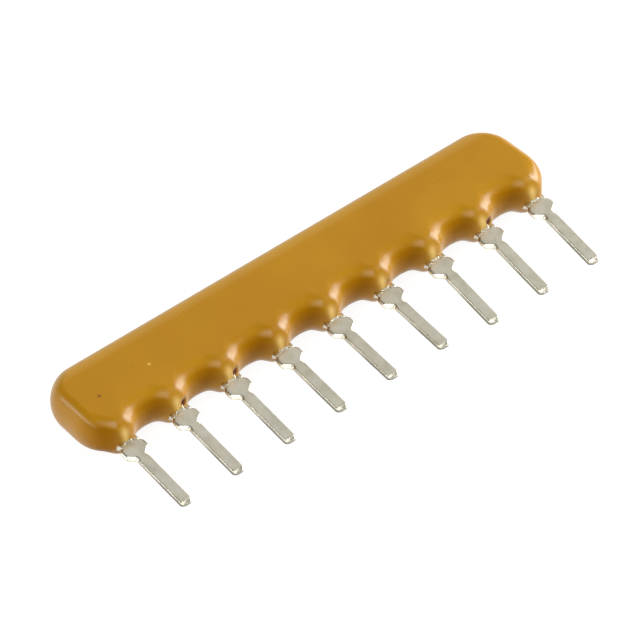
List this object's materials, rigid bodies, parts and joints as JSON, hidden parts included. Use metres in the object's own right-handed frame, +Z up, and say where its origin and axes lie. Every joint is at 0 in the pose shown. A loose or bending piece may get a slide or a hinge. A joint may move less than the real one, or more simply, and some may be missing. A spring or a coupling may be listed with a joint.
{
  "type": "resistor network",
  "caption": "Single-in-line bussed resistor network: a printed ceramic plate with clip leads, dipped in an ochre epoxy coat, for through-hole circuit boards.",
  "frame": {"origin": "middle of the footprint of the part as it lies on its back, on the surface it lies on", "axes": "+X along the lead row from the common lead to the last lead, +Y from the pin tips to the top of the body, +Z up out of the front face"},
  "size_m": [0.0228, 0.008, 0.0021],
  "materials": {
    "coating": "glossy",
    "tin": "satin",
    "ceramic": "matte",
    "conductor": "satin",
    "resistor_film": "matte",
    "glaze": "glossy",
    "solder": "satin"
  },
  "bodies": {
    "root": {"coating": "coating", "substrate": "ceramic", "common_bus": "conductor", "glaze": "glaze", "pad_2": "conductor", "pad_3": "conductor", "pad_4": "conductor", "pad_5": "conductor", "pad_6": "conductor", "pad_7": "conductor", "pad_8": "conductor", "pad_9": "conductor", "resistor_1": "resistor_film", "resistor_2": "resistor_film", "resistor_3": "resistor_film", "resistor_4": "resistor_film", "resistor_5": "resistor_film", "resistor_6": "resistor_film", "resistor_7": "resistor_film", "resistor_8": "resistor_film", "lead_1": "tin", "lead_2": "tin", "lead_3": "tin", "lead_4": "tin", "lead_5": "tin", "lead_6": "tin", "lead_7": "tin", "lead_8": "tin", "lead_9": "tin", "solder_1": "solder", "solder_2": "solder", "solder_3": "solder", "solder_4": "solder", "solder_5": "solder", "solder_6": "solder", "solder_7": "solder", "solder_8": "solder", "solder_9": "solder"}
  },
  "joints": []
}
